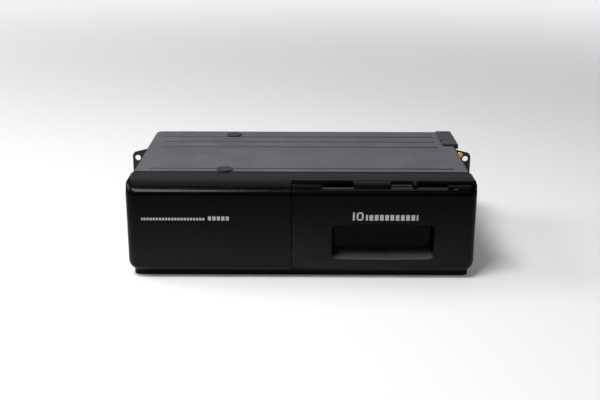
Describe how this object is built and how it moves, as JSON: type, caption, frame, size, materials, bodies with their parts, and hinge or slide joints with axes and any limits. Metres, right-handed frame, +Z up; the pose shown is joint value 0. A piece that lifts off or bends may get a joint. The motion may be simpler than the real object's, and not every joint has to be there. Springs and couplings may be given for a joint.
{
  "type": "car cd changer",
  "caption": "Flat steel-cased disc changer for a car, with a moulded front, a flip-up door over a tray magazine and side mounting ears.",
  "frame": {"origin": "the middle of the footprint, on the ground under the pan", "axes": "+Z up, -Y towards the user (the door side), +X to the right seen from the front"},
  "size_m": [0.297, 0.161, 0.078],
  "materials": {
    "cover_paint": "satin dark grey enamel on drawn steel",
    "pan_steel": "semi-matt black paint on folded steel",
    "bracket_steel": "semi-matt black paint",
    "frame_zinc": "zinc-plated sheet",
    "pin_steel": "ground steel",
    "screw_black": "black oxide",
    "brass": "plain turned brass",
    "shell_plastic": "fine-grained black moulding",
    "case_plastic": "fine-grained black moulding",
    "tray_plastic": "smooth dark grey moulding",
    "gear_plastic": "natural white acetal",
    "button_plastic": "smooth grey moulding",
    "cap_paint": "satin dark grey",
    "damper_rubber": "soft black rubber",
    "motor_steel": "plated can",
    "board_laminate": "green lacquered laminate",
    "chip_plastic": "black moulded chips",
    "lens_glass": "coated lens"
  },
  "bodies": {
    "case": {"top_cover": "cover_paint", "bottom_pan": "pan_steel", "cover_screws": "screw_black", "transit_caps": "cap_paint", "corner_plate": "bracket_steel", "corner_screw": "brass", "side_bracket_right": "bracket_steel", "side_bracket_left": "bracket_steel", "bracket_screws": "screw_black", "earth_screw": "brass", "fascia": "shell_plastic", "door_spring": "pin_steel", "magazine_holder": "frame_zinc", "mechanism_frame": "frame_zinc", "vibration_dampers": "damper_rubber", "lift_motor": "motor_steel", "main_board": "board_laminate", "board_parts": "chip_plastic", "bus_socket": "case_plastic"},
    "door": {"door": "shell_plastic", "hinge_pin": "pin_steel"},
    "magazine": {"magazine_case": "case_plastic"},
    "tray_01": {"disc_tray_01": "tray_plastic"},
    "tray_02": {"disc_tray_02": "tray_plastic"},
    "tray_03": {"disc_tray_03": "tray_plastic"},
    "tray_04": {"disc_tray_04": "tray_plastic"},
    "tray_05": {"disc_tray_05": "tray_plastic"},
    "tray_06": {"disc_tray_06": "tray_plastic"},
    "tray_07": {"disc_tray_07": "tray_plastic"},
    "tray_08": {"disc_tray_08": "tray_plastic"},
    "tray_09": {"disc_tray_09": "tray_plastic"},
    "tray_10": {"disc_tray_10": "tray_plastic"},
    "eject_button": {"eject_button": "button_plastic"},
    "dial_right": {"angle_dial_right": "case_plastic"},
    "dial_left": {"angle_dial_left": "case_plastic"},
    "lift": {"lift_table": "frame_zinc", "sled_rods": "pin_steel", "spindle_motor": "motor_steel", "sled_motor": "motor_steel"},
    "cam_front": {"lift_cam_front": "frame_zinc"},
    "cam_rear": {"lift_cam_rear": "frame_zinc"},
    "lift_gear": {"lift_gear": "gear_plastic"},
    "motor_pinion": {"motor_pinion": "gear_plastic"},
    "turntable": {"turntable": "case_plastic"},
    "sled": {"pickup_sled": "case_plastic", "pickup_lens": "lens_glass"},
    "sled_gear": {"sled_gear": "gear_plastic"},
    "clamp": {"clamp_arm": "frame_zinc", "clamp_puck": "gear_plastic"},
    "shuttle": {"tray_shuttle": "gear_plastic"}
  },
  "joints": [
    {"name": "door_hinge", "type": "hinge", "parent": "case", "child": "door", "pos_m": [0.055, -0.077, 0.0722], "axis": [1, 0, 0], "range_deg": [-100, 0], "stiffness_Nm_per_rad": 0.004, "springref_deg": 20.05},
    {"name": "magazine_slide", "type": "slide", "parent": "case", "child": "magazine", "axis": [0, 1, 0], "range_m": [-0.035, 0]},
    {"name": "tray_slide_01", "type": "slide", "parent": "magazine", "child": "tray_01", "axis": [-1, 0, 0], "range_m": [0, 0.1177]},
    {"name": "tray_slide_02", "type": "slide", "parent": "magazine", "child": "tray_02", "axis": [-1, 0, 0], "range_m": [0, 0.1177]},
    {"name": "tray_slide_03", "type": "slide", "parent": "magazine", "child": "tray_03", "axis": [-1, 0, 0], "range_m": [0, 0.1177]},
    {"name": "tray_slide_04", "type": "slide", "parent": "magazine", "child": "tray_04", "axis": [-1, 0, 0], "range_m": [0, 0.1177]},
    {"name": "tray_slide_05", "type": "slide", "parent": "magazine", "child": "tray_05", "axis": [-1, 0, 0], "range_m": [0, 0.1177]},
    {"name": "tray_slide_06", "type": "slide", "parent": "magazine", "child": "tray_06", "axis": [-1, 0, 0], "range_m": [0, 0.1177]},
    {"name": "tray_slide_07", "type": "slide", "parent": "magazine", "child": "tray_07", "axis": [-1, 0, 0], "range_m": [0, 0.1177]},
    {"name": "tray_slide_08", "type": "slide", "parent": "magazine", "child": "tray_08", "axis": [-1, 0, 0], "range_m": [0, 0.1177]},
    {"name": "tray_slide_09", "type": "slide", "parent": "magazine", "child": "tray_09", "axis": [-1, 0, 0], "range_m": [0, 0.1177]},
    {"name": "tray_slide_10", "type": "slide", "parent": "magazine", "child": "tray_10", "axis": [-1, 0, 0], "range_m": [0, 0.1177]},
    {"name": "eject_push", "type": "slide", "parent": "case", "child": "eject_button", "axis": [0, 1, 0], "range_m": [0, 0.0025], "stiffness_N_per_m": 300, "springref_m": -0.001},
    {"name": "dial_turn_right", "type": "hinge", "parent": "case", "child": "dial_right", "pos_m": [0.128, -0.015, 0.04], "axis": [1, 0, 0], "range_deg": [-90, 0]},
    {"name": "dial_turn_left", "type": "hinge", "parent": "case", "child": "dial_left", "pos_m": [-0.128, -0.015, 0.04], "axis": [-1, 0, 0], "range_deg": [0, 90]},
    {"name": "lift_raise", "type": "slide", "parent": "case", "child": "lift", "axis": [0, 0, -1], "range_m": [-0.05, 0]},
    {"name": "cam_front_slide", "type": "slide", "parent": "case", "child": "cam_front", "axis": [1, 0, 0], "range_m": [-0.034, 0]},
    {"name": "cam_rear_slide", "type": "slide", "parent": "case", "child": "cam_rear", "axis": [1, 0, 0], "range_m": [-0.034, 0]},
    {"name": "lift_gear_spin", "type": "hinge", "parent": "case", "child": "lift_gear", "pos_m": [-0.046, -0.0713, 0.0172], "axis": [0, 0, 1], "range_deg": [0, 488]},
    {"name": "motor_pinion_spin", "type": "hinge", "parent": "case", "child": "motor_pinion", "pos_m": [-0.0552, -0.0713, 0.0183], "axis": [0, 0, 1], "range_deg": [-758.5, 0]},
    {"name": "turntable_spin", "type": "hinge", "parent": "lift", "child": "turntable", "pos_m": [-0.05895, 0.0049, 0.012], "axis": [0, 0, 1], "continuous": true},
    {"name": "sled_slide", "type": "slide", "parent": "lift", "child": "sled", "axis": [-1, 0, 0], "range_m": [0, 0.034]},
    {"name": "sled_gear_spin", "type": "hinge", "parent": "lift", "child": "sled_gear", "pos_m": [-0.07895, 0.0312, 0.0085], "axis": [0, 0, 1], "range_deg": [-406.5, 0]},
    {"name": "clamp_lift", "type": "hinge", "parent": "lift", "child": "clamp", "pos_m": [-0.1227, 0.0049, 0.0146], "axis": [0, 1, 0], "range_deg": [-5, 0]},
    {"name": "shuttle_slide", "type": "slide", "parent": "lift", "child": "shuttle", "axis": [-1, 0, 0], "range_m": [0, 0.092]}
  ],
  "couplings": [
    {"joint": "door_hinge", "follows": "magazine_slide", "rad_per_m": 49.86},
    {"joint": "cam_front_slide", "follows": "lift_raise", "ratio": 0.68},
    {"joint": "cam_rear_slide", "follows": "lift_raise", "ratio": 0.68},
    {"joint": "lift_gear_spin", "follows": "lift_raise", "rad_per_m": -170},
    {"joint": "motor_pinion_spin", "follows": "lift_raise", "rad_per_m": 264.44},
    {"joint": "sled_gear_spin", "follows": "sled_slide", "rad_per_m": -208.33}
  ]
}
